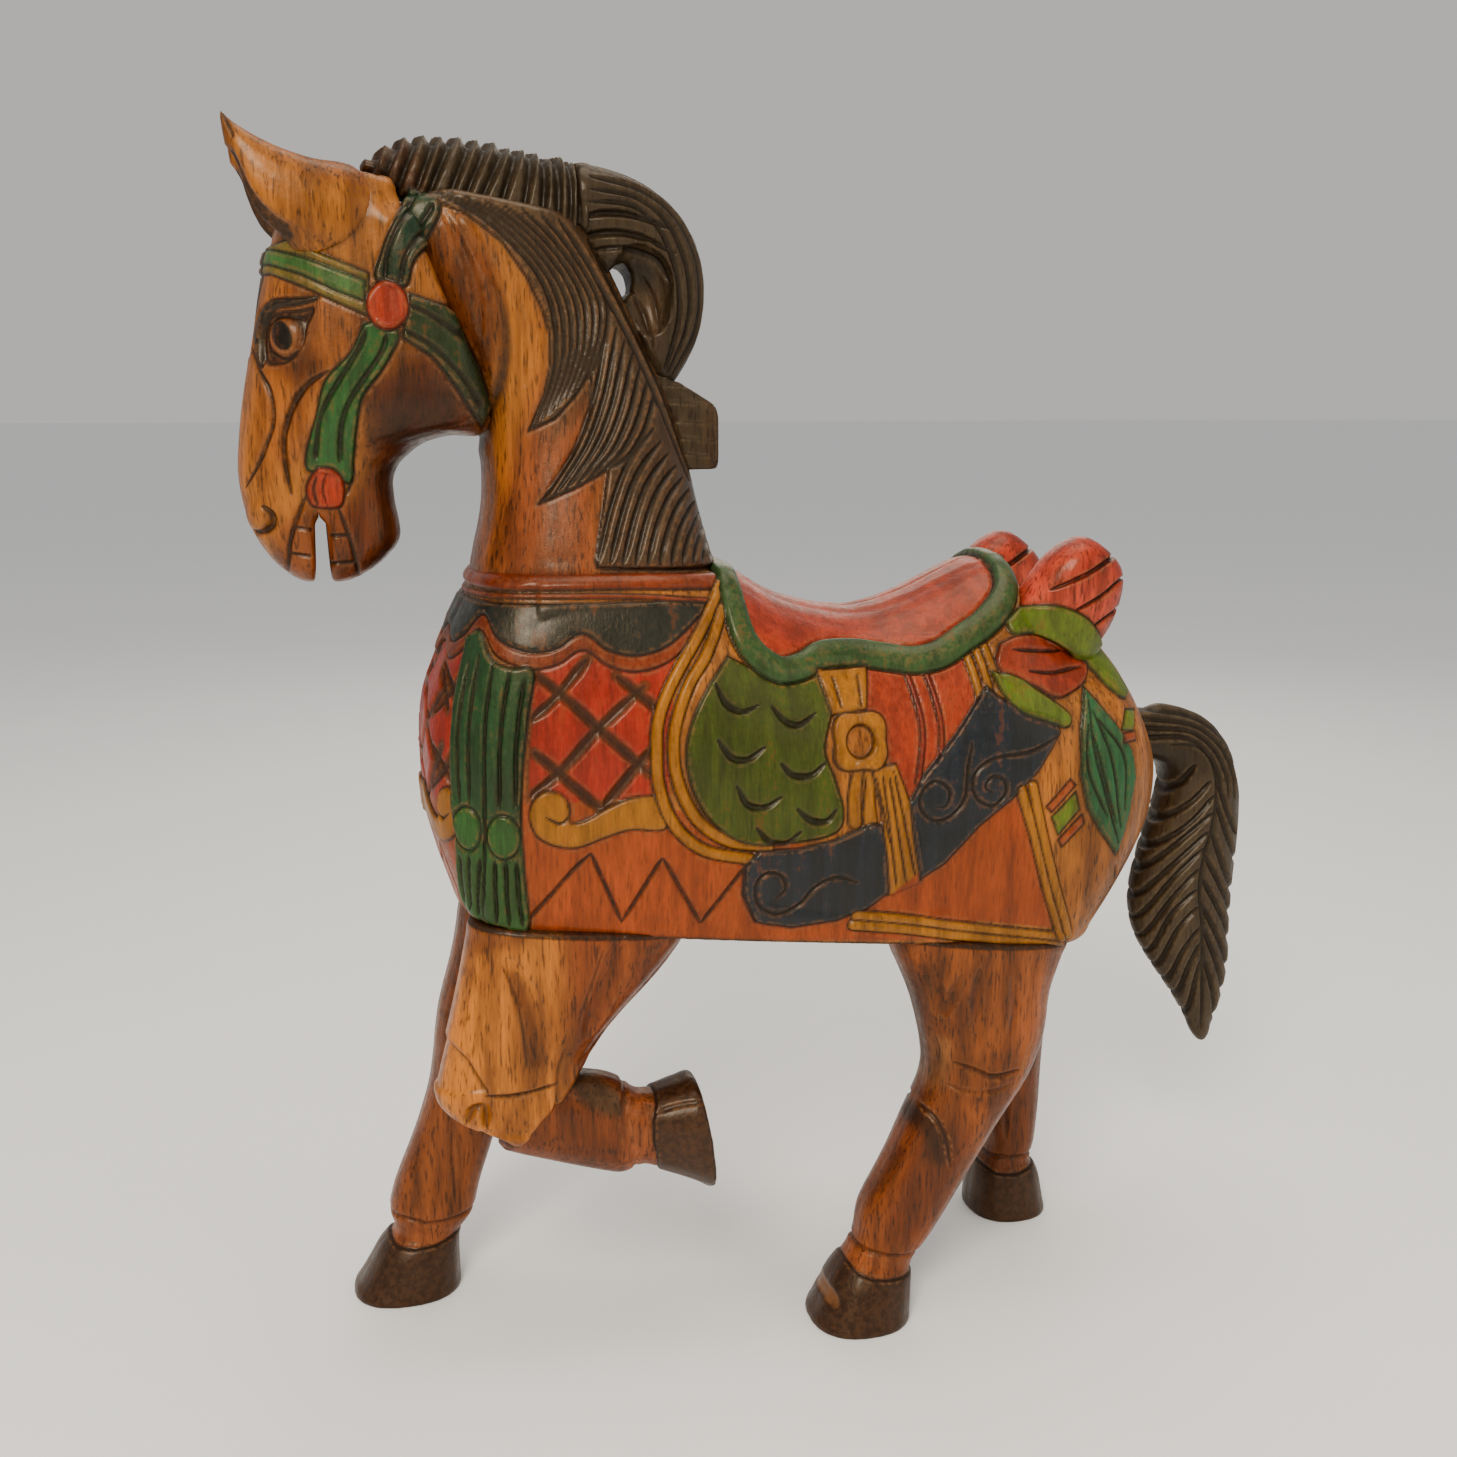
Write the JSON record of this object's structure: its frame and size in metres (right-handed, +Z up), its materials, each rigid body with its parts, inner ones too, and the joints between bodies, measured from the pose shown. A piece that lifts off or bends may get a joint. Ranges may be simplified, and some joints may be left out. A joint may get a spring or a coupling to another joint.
{
  "type": "carved wooden horse figurine",
  "caption": "Carved and painted wooden carousel-style horse, prancing with one foreleg raised, with bridle, saddle, curled mane and plume tail; stands on its hooves.",
  "frame": {"origin": "centre of the footprint of the whole horse, on the surface it stands on", "axes": "+Z up; the horse faces -X; its left side, with the raised foreleg, faces -Y; the seam between the body's two halves is the plane y = 0"},
  "size_m": [0.66, 0.1771, 0.743],
  "materials": {
    "painted_wood": "stained and painted relief carving under satin varnish",
    "honey_wood": "honey stain under satin varnish",
    "red_brown_wood": "red-brown stain under satin varnish",
    "dark_hair": "black-brown stain, worn on the ridges, satin",
    "red_paint": "red paint, worn, satin varnish",
    "dowel_wood": "bare hardwood"
  },
  "bodies": {
    "root": {"blanket_roll_left": "red_paint", "blanket_roll_left_dowel": "dowel_wood", "blanket_roll_right": "red_paint", "blanket_roll_right_dowel": "dowel_wood", "block_dowel": "dowel_wood", "body_dowel_front": "dowel_wood", "body_dowel_middle": "dowel_wood", "body_dowel_rear": "dowel_wood", "body_left": "painted_wood", "body_right": "painted_wood", "crest_dowel": "dowel_wood", "curl_dowel": "dowel_wood", "ear_left": "honey_wood", "ear_right": "honey_wood", "foreleg_left_dowel": "dowel_wood", "foreleg_left_lower": "red_brown_wood", "foreleg_left_upper": "honey_wood", "foreleg_right": "red_brown_wood", "foreleg_right_dowel": "dowel_wood", "head": "honey_wood", "head_dowel_lower": "dowel_wood", "head_dowel_upper": "dowel_wood", "hindleg_left": "red_brown_wood", "hindleg_left_dowel": "dowel_wood", "hindleg_right": "red_brown_wood", "hindleg_right_dowel": "dowel_wood", "knee_dowel": "dowel_wood", "mane_crest": "dark_hair", "mane_curl": "dark_hair", "neck": "honey_wood", "neck_dowel_left": "dowel_wood", "neck_dowel_right": "dowel_wood", "support_block": "dark_hair", "tail": "dark_hair"}
  },
  "joints": []
}
